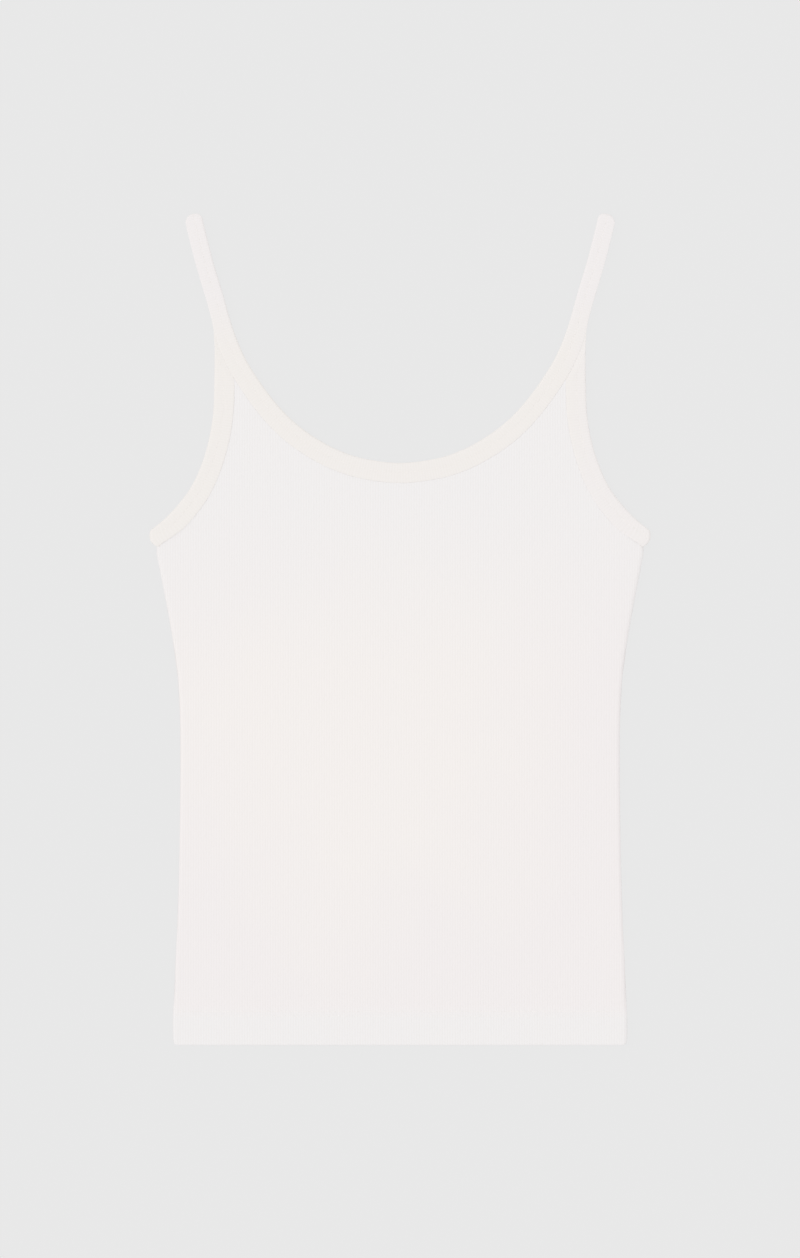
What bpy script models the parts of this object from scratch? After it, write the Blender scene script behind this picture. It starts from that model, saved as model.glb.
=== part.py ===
"""A rib-knit tank top with narrow straps, laid flat with its front up.

The garment lies on its back panel. The origin is on the surface it lies on, in
the middle of its length and width: +X runs to the wearer's left side, +Y from
the hem to the straps, and +Z up, out of the front panel.
"""

import math

import bmesh
import bpy
import numpy as np

# Cloth, in metres
CLOTH = 0.0014  # one layer of rib knit, over its ribs
HEM_WALL = 0.0022  # two pressed layers in the hem
BINDING_WALL = 0.0021  # a strip folded round a raw edge, and the folded strap
GAP = 0.0003  # clearance between the pieces at a seam

# Garment
LENGTH = 0.599  # hem edge to the fold at the top of the straps
HEM_DEPTH = 0.024  # cloth turned up inside the hem
HEM_STEP = 0.0025  # the hem's second layer runs out over this length
BINDING_WIDTH = 0.0146  # at the neck and the armholes
STRAP_WIDTH = 0.0128
SIDE_ROLL = 0.005  # how far in from the side seam the front panel bends down
LOFT = 0.0006  # air that lifts the middle of the front panel

# Ribs of the knit, raised on the front panel
RIBS = 190  # across the chest, one for each knit wale and the furrow beside it
RIB_RELIEF = 0.0004
RIB_FADE = 0.003  # the ribs flatten out this close to the side seam

# Heights of the faces above the surface
FRONT_BASE = HEM_WALL + GAP  # the front panel's inner face
BINDING_BASE = BINDING_WALL + GAP  # the inner face of the front bindings

# Sections of a body panel: height above the hem edge, half width at the side
# seam, and the share of the loft. The panel's sewn top edge is its last section.
PANEL_SECTIONS = (
    (0.0000, 0.1620, 0.0),
    (0.0025, 0.1636, 0.0),
    (0.0240, 0.1638, 0.0),
    (0.0265, 0.1636, 0.0),
    (0.1100, 0.1599, 1.0),
    (0.1750, 0.1586, 1.0),
    (0.2350, 0.1586, 1.0),
    (0.2700, 0.1606, 1.0),
    (0.2910, 0.1637, 0.95),
    (0.3120, 0.1675, 0.9),
    (0.3540, 0.1755, 0.7),
)
CHEST = PANEL_SECTIONS[-1][1]

# Free edge of the neck binding and the strap's inner edge, from the middle of
# the neck to the top of the strap: half width, height above the hem edge.
NECK_EDGE = (
    (0.0000, 0.4194),
    (0.0254, 0.4224),
    (0.0436, 0.4282),
    (0.0599, 0.4368),
    (0.0758, 0.4484),
    (0.0897, 0.4628),
    (0.1025, 0.4800),
    (0.1128, 0.4973),
    (0.1208, 0.5175),
    (0.1274, 0.5405),
    (0.1343, 0.5636),
    (0.1401, 0.5860),
    (0.1428, 0.5975),
)

# Width of the neck binding and the strap, by height along its free edge.
NECK_WIDTHS = (
    (0.440, BINDING_WIDTH),
    (0.513, 0.0141),
    (0.526, STRAP_WIDTH),
)

# Free edge of the armhole binding, from the underarm to the strap: half width,
# height above the hem edge.
ARMHOLE_EDGE = (
    (0.1765, 0.3735),
    (0.1695, 0.3792),
    (0.1611, 0.3879),
    (0.1522, 0.3994),
    (0.1461, 0.4109),
    (0.1416, 0.4224),
    (0.1383, 0.4340),
    (0.1359, 0.4455),
    (0.1343, 0.4600),
    (0.1338, 0.4800),
    (0.1336, 0.5000),
    (0.1340, 0.5100),
    (0.1345, 0.5200),
)
UNDERARM_FOLD = 0.1779  # half width at the axis that the binding folds round
UNDERARM_HIGH = 0.3722  # height of the free edge at that fold
UNDERARM_LOW = 0.3596  # height of the sewn edge at that fold
BINDING_TIP = 0.0010  # width of the armhole binding where it ends at the strap

# Cross-section of a folded strip: place across it, from its free edge to its
# sewn edge, and place through it, from its inner face to its outer face.
STRIP_SECTION = (
    (0.06, 0.00),
    (0.94, 0.00),
    (1.00, 0.30),
    (0.97, 0.85),
    (0.85, 1.00),
    (0.50, 1.00),
    (0.15, 1.00),
    (0.03, 0.85),
    (0.00, 0.30),
)
CROWN_POINT = 5  # the point of the section that the crown lifts
CROWN = 0.00015
SECTION_SPACING = 0.0085  # along a strip
FOLD_STEPS = 8  # round the turn of a fold
FOLD_NARROWS = 0.40  # share of the width lost at the outside of a fold

# Columns of a panel's plain faces, as half widths at the chest: start, end and
# number of steps. They are close together where the armhole edge is steep.
PLAIN_COLUMNS = (
    (0.000, 0.112, 12),
    (0.112, 0.132, 14),
    (0.132, CHEST - SIDE_ROLL, 10),
)
ROLL_COLUMNS = (0.55, 0.25, 0.08, 0.0)  # shares of the side roll, ending at the edge

# Rounded lower side edge of the back panel: distance in from the side, height.
UNDER_EDGE = ((0.0012, 0.0), (0.0004, 0.0002), (0.0, 0.0008))

SAME_POINT = 0.00001  # corners closer than this are one
SHARP_ANGLE = math.radians(40)  # edges that bend more than this stay sharp


def material(name, colour, roughness):
    """A Principled BSDF material of one colour."""
    made = bpy.data.materials.new(name)
    made.use_nodes = True
    shader = made.node_tree.nodes["Principled BSDF"]
    shader.inputs["Base Color"].default_value = (*colour, 1.0)
    shader.inputs["Roughness"].default_value = roughness
    shader.inputs["Metallic"].default_value = 0.0
    return made


def solid(name, faces, coated, mirrored=False):
    """An object in the garment's collection from faces given as lists of points."""
    shape = bmesh.new()
    made = {}
    for face in faces:
        corners = []
        for point in face:
            key = tuple(round(float(value), 8) for value in point)
            if key not in made:
                made[key] = shape.verts.new((key[0], key[1] - LENGTH / 2, key[2]))
            if made[key] not in corners:
                corners.append(made[key])
        if len(corners) > 2:
            shape.faces.new(corners)
    mesh = bpy.data.meshes.new(name)
    shape.to_mesh(mesh)
    shape.free()
    piece = bpy.data.objects.new(name, mesh)
    piece.data.materials.append(coated)
    GARMENT.objects.link(piece)
    if mirrored:
        halves = piece.modifiers.new("other half", "MIRROR")
        halves.use_mirror_merge = True
        halves.merge_threshold = SAME_POINT
    mesh.shade_smooth()
    mesh.set_sharp_from_angle(angle=SHARP_ANGLE)
    return piece


# Edges of the pieces


def smooth_line(rows, before):
    """Points on a smooth curve through the rows, after the point before them."""
    knots = [np.array(row) for row in (before, *rows)]
    knots.append(2 * knots[-1] - knots[-2])
    line = []
    for p0, p1, p2, p3 in zip(knots, knots[1:], knots[2:], knots[3:]):
        steps = max(1, round(np.linalg.norm(p2 - p1) / SECTION_SPACING))
        for t in np.arange(steps) / steps:
            bend = (2 * p0 - 5 * p1 + 4 * p2 - p3) * t**2
            twist = (3 * p1 - p0 - 3 * p2 + p3) * t**3
            line.append(0.5 * (2 * p1 + (p2 - p0) * t + bend + twist))
    line.append(knots[-2])
    return np.array(line)


def square_to(line):
    """Unit vectors to the right of a line, square to it."""
    run = np.gradient(line, axis=0)
    run /= np.linalg.norm(run, axis=1)[:, None]
    return np.stack([run[:, 1], -run[:, 0]], axis=1)


def neck_lines():
    """The strip's free edge, and the vectors from it to its sewn edge."""
    first_bend = (-NECK_EDGE[1][0], NECK_EDGE[1][1])
    free = smooth_line(NECK_EDGE, first_bend)
    across = square_to(free)
    across[0] = (0.0, -1.0)
    heights, widths = zip(*NECK_WIDTHS)
    return free, across * np.interp(free[:, 1], heights, widths)[:, None]


def armhole_lines():
    """The same for the armhole binding, before the neck binding cuts it short."""
    low_bend = 2 * np.array(ARMHOLE_EDGE[0]) - np.array(ARMHOLE_EDGE[1])
    free = smooth_line(ARMHOLE_EDGE, low_bend)
    return free, -square_to(free) * BINDING_WIDTH


def beside_neck(free, across):
    """An armhole binding's lines, narrowed to a tip beside the neck binding."""
    neck_free, neck_across = neck_lines()
    neck_sewn = neck_free + neck_across
    neck_at = np.interp((free + across)[:, 1], neck_sewn[:, 1], neck_sewn[:, 0])
    room = free[:, 0] - neck_at - GAP
    across = across * np.minimum(1.0, room / -across[:, 0])[:, None]
    last = int(np.argmax(room < BINDING_TIP))
    share = (room[last - 1] - BINDING_TIP) / (room[last - 1] - room[last])
    for line in (free, across):
        line[last] = line[last - 1] + share * (line[last] - line[last - 1])
    return free[: last + 1], across[: last + 1]


def top_line(half_widths):
    """Heights of a panel's sewn top edge, below the neck and armhole bindings."""
    free, across = neck_lines()
    neck = free + across * (1 + GAP / np.linalg.norm(across, axis=1)[:, None])
    free, across = armhole_lines()
    armhole = (free + across * (1 + GAP / BINDING_WIDTH))[::-1]
    cut = armhole[:, 1] < np.interp(armhole[:, 0], neck[:, 0], neck[:, 1])
    armhole = np.vstack([armhole[cut], (UNDERARM_FOLD, UNDERARM_LOW - GAP)])
    under_neck = np.interp(half_widths, neck[:, 0], neck[:, 1])
    under_arm = np.interp(half_widths, armhole[:, 0], armhole[:, 1])
    return np.where(half_widths < armhole[0, 0], under_neck, np.minimum(under_neck, under_arm))


# Body panels


def wall_at(height):
    """Thickness of a panel: two layers in the hem, and one above it."""
    hem = np.clip((HEM_DEPTH + HEM_STEP - height) / HEM_STEP, 0, 1)
    return CLOTH + hem * (HEM_WALL - CLOTH)


def rolled(inward, depth, reach):
    """Height over the side seam of a face that bends down to it."""
    share = 1 - min(inward / reach, 1.0)
    return depth * math.sqrt(max(1 - share**2, 0.0))


def column_places(chest_places, half_width):
    """Where columns given at the chest run at another half width.

    The columns in the side roll keep their distance from the seam.
    """
    scale = (half_width - SIDE_ROLL) / (CHEST - SIDE_ROLL)
    inside = chest_places * scale
    rolling = half_width - (CHEST - chest_places)
    return np.where(chest_places > CHEST - SIDE_ROLL, rolling, inside)


def plain_places():
    """Half widths at the chest of the plain columns, up to the side roll."""
    places = [0.0]
    for start, end, steps in PLAIN_COLUMNS:
        places += list(np.linspace(start, end, steps + 1)[1:])
    return np.array(places)


def section_heights(places):
    """For each section of a panel: its half width, its loft and its heights."""
    for height, half_width, loft in PANEL_SECTIONS:
        yield half_width, loft, np.full(len(places), height)
    yield CHEST, 0.0, top_line(places)


def front_outer():
    """The ribbed face: one row of points for each section."""
    places = np.linspace(0, CHEST, RIBS + 1)
    furrow = np.arange(len(places)) % 2
    grid = []
    for half_width, loft, heights in section_heights(places):
        across = column_places(places, half_width)
        row = []
        for x, y, sunk in zip(across, heights, furrow):
            inward = half_width - x
            wall = wall_at(y)
            seam = wall + GAP
            lift = LOFT * loft * (1 - (x / half_width) ** 2)
            top = FRONT_BASE + wall + lift
            relief = sunk * RIB_RELIEF * min(inward / RIB_FADE, 1.0)
            row.append((x, y, seam + rolled(inward, top - seam, SIDE_ROLL) - relief))
        grid.append(row)
    return grid


def front_inner():
    """The plain inner face of the front panel."""
    places = plain_places()
    rolls = len(ROLL_COLUMNS)
    all_places = np.concatenate([places, np.full(rolls, CHEST - CLOTH)])
    grid = []
    for half_width, loft, heights in section_heights(all_places):
        across = column_places(places, half_width)
        wall = wall_at(heights[0])
        seam = wall + GAP
        reach = SIDE_ROLL - wall
        sides = [half_width - wall - share * reach for share in ROLL_COLUMNS]
        row = []
        for x, y in zip([*across, *sides], heights):
            lift = LOFT * loft * (1 - (x / half_width) ** 2)
            depth = FRONT_BASE + lift - seam
            row.append((x, y, seam + rolled(half_width - wall - x, depth, reach)))
        grid.append(row)
    return grid


def back_inner():
    """The back panel's upper face, which the front panel lies on."""
    places = np.append(plain_places(), CHEST)
    grid = []
    for half_width, _, heights in section_heights(places):
        across = column_places(places, half_width)
        grid.append([(x, y, wall_at(y)) for x, y in zip(across, heights)])
    return grid


def back_outer():
    """The back panel's underside, flat but for its rounded side edge."""
    places = plain_places()
    edge = [CHEST - inward for inward, _ in UNDER_EDGE]
    grid = []
    for half_width, _, heights in section_heights(np.array([*places, *edge])):
        across = [*column_places(places, half_width)]
        across += [half_width - inward for inward, _ in UNDER_EDGE]
        lifts = [0.0] * len(places) + [lift for _, lift in UNDER_EDGE]
        grid.append(list(zip(across, heights, lifts)))
    return grid


def zipped(one, other):
    """Triangles between two rows of points that run the same way across."""
    i = j = 0
    while i < len(one) - 1 or j < len(other) - 1:
        on_one = j == len(other) - 1
        if i < len(one) - 1 and not on_one:
            on_one = one[i + 1][0] <= other[j + 1][0]
        if on_one:
            yield [one[i], one[i + 1], other[j]]
            i += 1
        else:
            yield [one[i], other[j + 1], other[j]]
            j += 1


def panel(name, upper, lower, coated):
    """Half of a panel between its upper and lower faces, mirrored at the middle."""
    faces = []
    for above, below in zip(upper[1:], upper):
        for i in range(len(below) - 1):
            faces.append([below[i], below[i + 1], above[i + 1], above[i]])
    for above, below in zip(lower[1:], lower):
        for i in range(len(below) - 1):
            faces.append([below[i], above[i], above[i + 1], below[i + 1]])
    faces += zipped(lower[0], upper[0])
    faces += [face[::-1] for face in zipped(lower[-1], upper[-1])]
    for j in range(len(upper) - 1):
        faces.append([lower[j][-1], lower[j + 1][-1], upper[j + 1][-1], upper[j][-1]])
    return solid(name, faces, coated, mirrored=True)


# Bindings


def ring(free, sewn, outward, crown):
    """The points of a strip's cross-section between two edges."""
    points = []
    for index, (across, through) in enumerate(STRIP_SECTION):
        lift = through * BINDING_WALL + (CROWN * crown if index == CROWN_POINT else 0)
        points.append(free + (sewn - free) * across + outward * lift)
    return points


def folded_strip(free, across, fold):
    """Rings of a strip that lies on the front, folds over and runs back beneath.

    The free edge and the vectors across run to the fold, which is given by its
    edge on each side and the direction it bends towards.
    """
    up = np.array((0.0, 0.0, 1.0))
    front, back = [], []
    for edge, vector in zip(free, across):
        high = np.array((*edge, BINDING_BASE))
        low = np.array((*edge, BINDING_WALL))
        width = np.array((*vector, 0.0))
        front.append(ring(high, high + width, up, 1.0))
        back.append(ring(low, low + width, -up, 0.0))
    edge, sewn, towards = (np.array((*place, 0.0)) for place in fold)
    middle = up * (BINDING_BASE + BINDING_WALL) / 2
    radius = GAP / 2
    turn = []
    for angle in np.linspace(0, math.pi, FOLD_STEPS + 1):
        outward = towards * math.sin(angle) + up * math.cos(angle)
        narrowed = (sewn - edge) * FOLD_NARROWS / 2 * math.sin(angle)
        start = edge + narrowed + middle + outward * radius
        end = sewn - narrowed + middle + outward * radius
        turn.append(ring(start, end, outward, max(math.cos(angle), 0.0)))
    return front + turn + back[::-1]


def skinned(rings, capped):
    """Faces over a row of rings, with end caps if they are asked for."""
    faces = []
    for one, other in zip(rings, rings[1:]):
        for i in range(len(one)):
            k = (i + 1) % len(one)
            faces.append([one[i], other[i], other[k], one[k]])
    if capped:
        faces.append(list(rings[0]))
        faces.append(list(rings[-1])[::-1])
    return faces


def neck_binding(coated):
    """One strip round the neck edge that runs on over each shoulder as a strap."""
    free, across = neck_lines()
    towards = free[-1] - free[-2]
    towards /= np.linalg.norm(towards)
    fold = (free[-1], free[-1] + across[-1], towards)
    rings = folded_strip(free[:-1], across[:-1], fold)
    solid("neck_binding_and_straps", skinned(rings, False), coated, mirrored=True)


def armhole_binding(name, side, coated):
    """One strip round an armhole, folded at the underarm. side is 1 or -1."""
    free, across = beside_neck(*armhole_lines())
    fold = (
        (UNDERARM_FOLD, UNDERARM_HIGH),
        (UNDERARM_FOLD, UNDERARM_LOW),
        (1.0, 0.0),
    )
    rings = folded_strip(free[::-1], across[::-1], fold)
    faces = skinned(rings, True)
    if side < 0:
        faces = [[(-x, y, z) for x, y, z in face[::-1]] for face in faces]
    else:
        faces = [list(face) for face in faces]
    solid(name, faces, coated)


for old in list(bpy.data.objects):
    bpy.data.objects.remove(old, do_unlink=True)
GARMENT = bpy.data.collections.new("tank top")
bpy.context.scene.collection.children.link(GARMENT)

KNIT = material("off-white rib knit", (0.88, 0.85, 0.83), 0.95)
BINDING = material("off-white binding", (0.87, 0.84, 0.80), 0.95)

panel("back_panel", back_inner(), back_outer(), KNIT)
panel("front_panel", front_outer(), front_inner(), KNIT)
neck_binding(BINDING)
armhole_binding("armhole_binding_left", 1, BINDING)
armhole_binding("armhole_binding_right", -1, BINDING)
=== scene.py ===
import math

import bpy
import numpy as np
from mathutils.kdtree import KDTree
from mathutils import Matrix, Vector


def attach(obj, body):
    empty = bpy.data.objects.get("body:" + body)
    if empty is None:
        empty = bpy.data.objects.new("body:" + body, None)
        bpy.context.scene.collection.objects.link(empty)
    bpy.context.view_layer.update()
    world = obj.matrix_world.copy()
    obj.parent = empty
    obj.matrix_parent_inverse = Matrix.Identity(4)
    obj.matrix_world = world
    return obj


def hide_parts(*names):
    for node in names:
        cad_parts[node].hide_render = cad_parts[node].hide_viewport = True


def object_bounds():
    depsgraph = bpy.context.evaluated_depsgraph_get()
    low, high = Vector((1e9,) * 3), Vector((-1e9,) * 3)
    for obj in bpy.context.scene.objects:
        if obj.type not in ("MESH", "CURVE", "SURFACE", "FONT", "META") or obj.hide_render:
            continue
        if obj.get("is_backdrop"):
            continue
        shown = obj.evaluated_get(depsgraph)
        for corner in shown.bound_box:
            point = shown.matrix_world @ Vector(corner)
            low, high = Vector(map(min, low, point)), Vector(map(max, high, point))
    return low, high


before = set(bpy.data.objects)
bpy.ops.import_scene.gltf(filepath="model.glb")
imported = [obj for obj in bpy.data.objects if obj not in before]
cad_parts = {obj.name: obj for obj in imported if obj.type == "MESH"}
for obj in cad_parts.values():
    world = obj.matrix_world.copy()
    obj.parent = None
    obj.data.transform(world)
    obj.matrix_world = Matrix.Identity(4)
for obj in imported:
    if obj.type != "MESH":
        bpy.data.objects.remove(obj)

CAD_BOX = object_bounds()

# Front and back panels
#
# Two layers of off-white cotton rib knit, cut with the ribs running straight
# down. The lower edge of each is turned up inside as a hem, and the neck and
# armhole edges are caught inside the bindings.

HEM_EDGE = CAD_BOX[0].y  # heights are measured up from here
GAP = 0.0003  # between the two halves of the garment
CLOTH = 0.0014  # one layer of rib knit, over its ribs
HEM_WALL = 0.0022  # two pressed layers
HEM_DEPTH = 0.024  # cloth turned up inside
HEM_STEP = 0.006  # the turned-up layer thins out over this length
FRONT_BASE = HEM_WALL + GAP  # inner face of the front panel
LOFT = 0.0006  # air that lifts the middle of the front panel
LOFT_START = 0.09  # it builds up over this height

CHEST = 0.1755  # half width at the underarm
CHEST_HEIGHT = 0.354
RIB = CHEST / 95  # from one rib to the next
RIB_RELIEF = 0.00012  # from the crest of a rib to the furrow beside it
RIB_FADE = 0.003  # the ribs flatten out this close to the side seam
RIB_PRESS = 0.7  # share of them pressed flat under a row of stitches
POINTS_PER_RIB = 4
PANEL_CUT = (2 * CHEST, 0.4906)  # flat width, and height from the hem fold to the raw edge
AREA_STEPS = 600  # places at which its width is measured for its area

SIDE_ROLL = 0.0030  # the front panel bends down to the side seam over this width
SIDE_STEPS = (0.0006, 0.0003, 0.0001, 0.0)  # points across the end of that bend
UNDER_ROLL = 0.0012  # rounding of the back panel's side edge
UNDER_RISE = 0.6  # share of the wall that it rises by
CORNER_RISE = 0.0035  # the lower corners are rounded over this height
CORNER_IN = 0.0038
NOT_SHUT = 0.00003  # the two faces stay apart at a fold as if this far inside it

BINDING_WALL = 0.0021  # a binding's two layers and the cloth between them
BINDING_BASE = BINDING_WALL + GAP
BINDING_WIDTH = 0.0146
STRAP_WIDTH = 0.0128
TUCK = 0.003  # cloth caught inside a binding
TONGUE = 0.0006  # its thickness there, pressed flat
CAUGHT_AT = 0.72  # its place through the binding's thickness, from the inner face
PINCH = 0.0012  # the cloth thins down to it over this width
TUCK_FADE = 0.008  # no cloth is caught next to the side seam
UNTUCKED = -0.0001  # and it stops just short of the binding there
RING = RIB / 4  # spacing of the points along a binding: four to each of its ribs
CURVE_STEPS = 40  # points worked out between two rows of a table

# Side edge of a panel: half width, height. The curve starts from a point below
# the hem.
BELOW_HEM = (0.1634, -0.020)
SIDE_SPACING = 0.002  # of the points along the curve
SIDE_EDGE = (
    (0.1634, 0.000),
    (0.1637, 0.020),
    (0.1624, 0.040),
    (0.1619, 0.060),
    (0.1605, 0.088),
    (0.1596, 0.116),
    (0.1589, 0.150),
    (0.1584, 0.185),
    (0.1583, 0.215),
    (0.1588, 0.245),
    (0.1608, 0.272),
    (0.1640, 0.293),
    (0.1677, 0.314),
    (0.1716, 0.334),
    (0.1756, CHEST_HEIGHT),
)

# Free edge of the neck binding and the strap's inner edge, from the middle of
# the neck to the top of the strap: half width, height.
NECK_EDGE = (
    (0.0000, 0.4194),
    (0.0254, 0.4224),
    (0.0436, 0.4282),
    (0.0599, 0.4368),
    (0.0758, 0.4484),
    (0.0897, 0.4628),
    (0.1025, 0.4800),
    (0.1128, 0.4973),
    (0.1208, 0.5175),
    (0.1274, 0.5405),
    (0.1343, 0.5636),
    (0.1401, 0.5860),
    (0.1428, 0.5975),
)

# Width of the neck binding and the strap, by height along its free edge.
NECK_WIDTHS = (
    (0.440, BINDING_WIDTH),
    (0.513, 0.0141),
    (0.526, STRAP_WIDTH),
)

# Free edge of the armhole binding, from the underarm to the strap: half width,
# height.
ARMHOLE_EDGE = (
    (0.1765, 0.3735),
    (0.1695, 0.3792),
    (0.1611, 0.3879),
    (0.1522, 0.3994),
    (0.1461, 0.4109),
    (0.1416, 0.4224),
    (0.1383, 0.4340),
    (0.1359, 0.4455),
    (0.1343, 0.4600),
    (0.1338, 0.4800),
    (0.1336, 0.5000),
    (0.1340, 0.5100),
    (0.1345, 0.5200),
)
UNDERARM_FREE = (0.1779, 0.3722)  # ends of the line that the armhole binding folds on
UNDERARM_SEWN = (0.1760, 0.3588)
UNDERARM_TURN = 0.014  # the binding turns square to that line over this length

# Soft creases in the front: half width and height of the middle, direction in
# degrees, half length, half width across, rise.
CREASES = (
    (-0.118, 0.352, -32, 0.045, 0.011, -0.00030),
    (0.128, 0.366, 222, 0.060, 0.009, 0.00030),
    (-0.095, 0.372, -40, 0.040, 0.012, 0.00022),
    (0.096, 0.352, 220, 0.045, 0.014, -0.00016),
    (-0.060, 0.265, -12, 0.070, 0.014, 0.00020),
    (0.050, 0.225, 8, 0.080, 0.015, -0.00020),
    (-0.020, 0.120, 82, 0.070, 0.018, 0.00022),
    (0.095, 0.105, 98, 0.060, 0.016, -0.00022),
    (-0.110, 0.085, 80, 0.050, 0.014, -0.00020),
    (0.020, 0.345, 4, 0.060, 0.020, -0.00020),
)

# Rows of stitching in the hem, by height, and the dent that each one presses.
HEM_ROWS = (0.0212, 0.0246)
HEM_DENT = 0.00007
HEM_DENT_WIDTH = 0.0007

# Heights of a panel's rows of points: round the fold of the hem, up to its
# stitching, across it, and on up the body.
ROWS = np.concatenate(
    [
        (0.0, 0.0001, 0.0003, 0.0006, 0.0011, 0.0020, 0.0035),
        (0.0070, 0.0110, 0.0150, 0.0180),
        np.arange(0.0190, 0.0272, 0.0006),
        np.linspace(0.0290, CHEST_HEIGHT, 55),
    ]
)
CLIMB = 22  # rows on from the underarm
COARSE_ROWS = np.append(ROWS[[0, 1, 2, 3, 4, 5, 7, 9, 13, 17, 21, 25]], ROWS[29::5])
COARSE_CLIMB = 5  # the inner faces have fewer rows
EDGE_ZONE = 0.0075  # depth of the rows along the top edge
EDGE_ROWS = (0.14, 0.28, 0.42, 0.52, 0.60, 0.72, 0.86, 1.0)


def eased(share):
    """A smooth step from 0 to 1."""
    share = np.clip(share, 0, 1)
    return share * share * (3 - 2 * share)


def length_along(line):
    """Length from a line's start to each of its points."""
    steps = np.linalg.norm(np.diff(line, axis=0), axis=1)
    return np.concatenate([[0.0], np.cumsum(steps)])


def smooth_line(rows, before, spacing):
    """Points on a smooth curve through the rows, after the point before them."""
    knots = [np.array(row) for row in (before, *rows)]
    knots.append(2 * knots[-1] - knots[-2])
    t = np.linspace(0, 1, CURVE_STEPS, endpoint=False)[:, None]
    line = []
    for p0, p1, p2, p3 in zip(knots, knots[1:], knots[2:], knots[3:]):
        bend = (2 * p0 - 5 * p1 + 4 * p2 - p3) * t**2
        twist = (3 * p1 - p0 - 3 * p2 + p3) * t**3
        line.append(0.5 * (2 * p1 + (p2 - p0) * t + bend + twist))
    line = np.vstack([*line, knots[-2]])
    away = length_along(line)
    even = np.linspace(0, away[-1], round(away[-1] / spacing) + 1)
    return np.stack([np.interp(even, away, line[:, k]) for k in (0, 1)], axis=1)


def square_to(line):
    """Unit vectors to the right of a line, square to it."""
    run = np.gradient(line, axis=0)
    run /= np.linalg.norm(run, axis=1)[:, None]
    return np.stack([run[:, 1], -run[:, 0]], axis=1)


def neck_lines():
    """The neck binding's free edge, and the vectors from it to its sewn edge."""
    free = smooth_line(NECK_EDGE, (-NECK_EDGE[1][0], NECK_EDGE[1][1]), RING)
    across = square_to(free)
    across[0] = (0.0, -1.0)
    heights, widths = zip(*NECK_WIDTHS)
    return free, across * np.interp(free[:, 1], heights, widths)[:, None]


def armhole_lines():
    """The same for an armhole binding, before the neck binding cuts it short."""
    low_bend = 2 * np.array(ARMHOLE_EDGE[0]) - np.array(ARMHOLE_EDGE[1])
    free = smooth_line(ARMHOLE_EDGE, low_bend, RING)
    across = -square_to(free) * BINDING_WIDTH
    at_fold = np.array(UNDERARM_SEWN) - np.array(UNDERARM_FREE)
    turn = eased(1 - length_along(free) / UNDERARM_TURN)[:, None]
    return free, across + (at_fold - across) * turn


def caught_lines(tuck):
    """Lines that lie this far inside the sewn edges of the neck and armhole bindings."""
    free, across = neck_lines()
    neck = free + across * (1 - tuck / np.linalg.norm(across, axis=1)[:, None])
    free, across = armhole_lines()
    armhole = free + across * (1 - tuck / np.linalg.norm(across, axis=1)[:, None])
    armhole = armhole[::-1]
    cut = armhole[:, 1] < np.interp(armhole[:, 0], neck[:, 0], neck[:, 1])
    armhole = np.vstack([armhole[cut], (UNDERARM_SEWN[0], UNDERARM_SEWN[1] + tuck)])
    return neck, armhole


def top_line(half_widths, tuck):
    """Heights of a panel's top edge."""
    neck, armhole = caught_lines(tuck)
    under_neck = np.interp(half_widths, neck[:, 0], neck[:, 1])
    under_arm = np.interp(half_widths, armhole[:, 0], armhole[:, 1])
    return np.where(half_widths < armhole[0, 0], under_neck, np.minimum(under_neck, under_arm))


def rounded(share):
    """A quarter circle that rises from 0 to 1."""
    return np.sqrt(np.maximum(1 - (1 - np.clip(share, 0, 1)) ** 2, 0))


SIDE = smooth_line(SIDE_EDGE, BELOW_HEM, SIDE_SPACING)


def half_width(height):
    """Half width of a panel at a height."""
    corner = CORNER_IN * (1 - rounded(height / CORNER_RISE))
    return np.minimum(np.interp(height, SIDE[:, 1], SIDE[:, 0]), CHEST) - corner


def wall_at(height):
    """Thickness of a panel: two layers in the hem, and one above it."""
    return CLOTH + (HEM_WALL - CLOTH) * eased((HEM_DEPTH + HEM_STEP - height) / HEM_STEP)


def caught(x):
    """1 where a panel's top edge is caught in a binding, 0 at the side seam."""
    return eased((CHEST - np.abs(x)) / TUCK_FADE)


def marked(line):
    """A line's points, kept so that the nearest one is quickly found."""
    marks = KDTree(len(line))
    for number, (x, height) in enumerate(line):
        marks.insert((x, height, 0.0), number)
    marks.balance()
    return marks


def away_from(marks, x, height):
    """Distance of each place from the nearest of the marked points."""
    away = [marks.find((a, b, 0.0))[2] for a, b in zip(np.ravel(x), np.ravel(height))]
    return np.reshape(away, np.shape(x))


SEWN_NECK, SEWN_ARMHOLE = caught_lines(0.0)
SEWN = marked(np.vstack([SEWN_NECK[SEWN_NECK[:, 0] < SEWN_ARMHOLE[0, 0]], SEWN_ARMHOLE]))


def pinched(x, height):
    """0 on the open cloth, and 1 where a binding presses it flat."""
    if np.max(height) < UNDERARM_SEWN[1] - PINCH:
        return np.zeros(len(x))
    away = away_from(SEWN, np.abs(x), height)
    away = np.where(height < top_line(np.abs(x), 0.0), away, 0.0)
    return eased(1 - away / PINCH) * caught(x)


def creased(x, height):
    """Rise of the front panel above its plain level."""
    rise = LOFT * eased(height / LOFT_START) * (1 - (x / half_width(height)) ** 2)
    for side, up, direction, length, width, depth in CREASES:
        run = math.radians(direction)
        along = (x - side) * math.cos(run) + (height - up) * math.sin(run)
        off = (height - up) * math.cos(run) - (x - side) * math.sin(run)
        rise = rise + depth * np.exp(-((along / length) ** 2) - (off / width) ** 2)
    return rise


def stitched_down(height):
    """1 on a row of the hem's stitches, and 0 away from them."""
    return sum(np.exp(-(((height - row) / HEM_DENT_WIDTH) ** 2)) for row in HEM_ROWS)


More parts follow.
